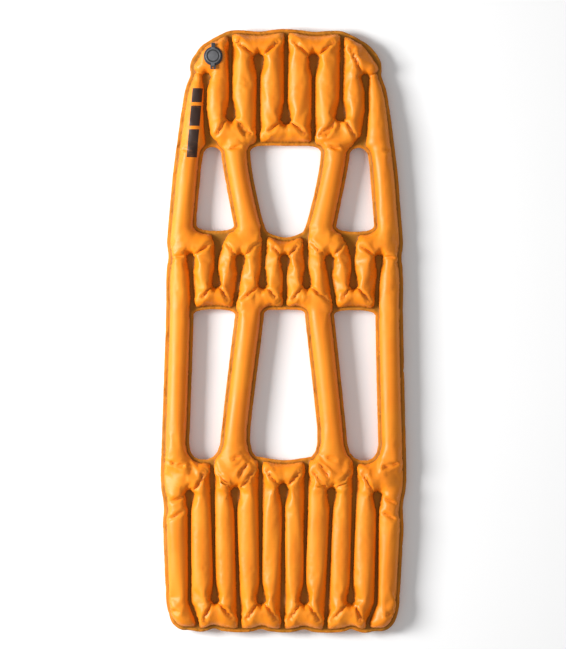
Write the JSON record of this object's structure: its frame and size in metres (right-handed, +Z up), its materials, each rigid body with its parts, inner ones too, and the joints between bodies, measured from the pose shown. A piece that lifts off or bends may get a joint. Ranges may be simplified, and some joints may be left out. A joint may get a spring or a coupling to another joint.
{
  "type": "inflatable sleeping pad",
  "caption": "Three-quarter-length air pad of parallel welded tubes with slanted struts, open loft windows and a two-stage flip valve in the head corner.",
  "frame": {"origin": "on the ground under the middle of the pad as it lies flat", "axes": "+Y to the head end, +X to the right seen from above with the head away, +Z up out of the sleeping side"},
  "size_m": [0.435, 1.067, 0.0435],
  "materials": {
    "laminate": "satin coated ripstop nylon",
    "dark_polymer": "satin moulded",
    "grey_polymer": "satin moulded",
    "silicone": "smooth moulded"
  },
  "bodies": {
    "pad": {"upper_film": "laminate", "lower_film": "laminate", "valve_base": "dark_polymer", "valve_collar": "dark_polymer"},
    "lid": {"deflate_lid": "dark_polymer", "lid_seal_ring": "silicone"},
    "flap": {"check_flap": "silicone"},
    "cap": {"inflate_cap": "grey_polymer", "cap_seal_ring": "silicone"}
  },
  "joints": [
    {"name": "lid_hinge", "type": "hinge", "parent": "pad", "child": "lid", "pos_m": [-0.128, 0.5031, 0.03906], "axis": [-1, 0, 0], "range_deg": [0, 150]},
    {"name": "cap_hinge", "type": "hinge", "parent": "lid", "child": "cap", "pos_m": [-0.128, 0.46475, 0.04241], "axis": [1, 0, 0], "range_deg": [0, 150]},
    {"name": "check_flap_lift", "type": "slide", "parent": "lid", "child": "flap", "axis": [0, 0, -1], "range_m": [0, 0.0016], "stiffness_N_per_m": 20, "springref_m": -0.0005}
  ]
}
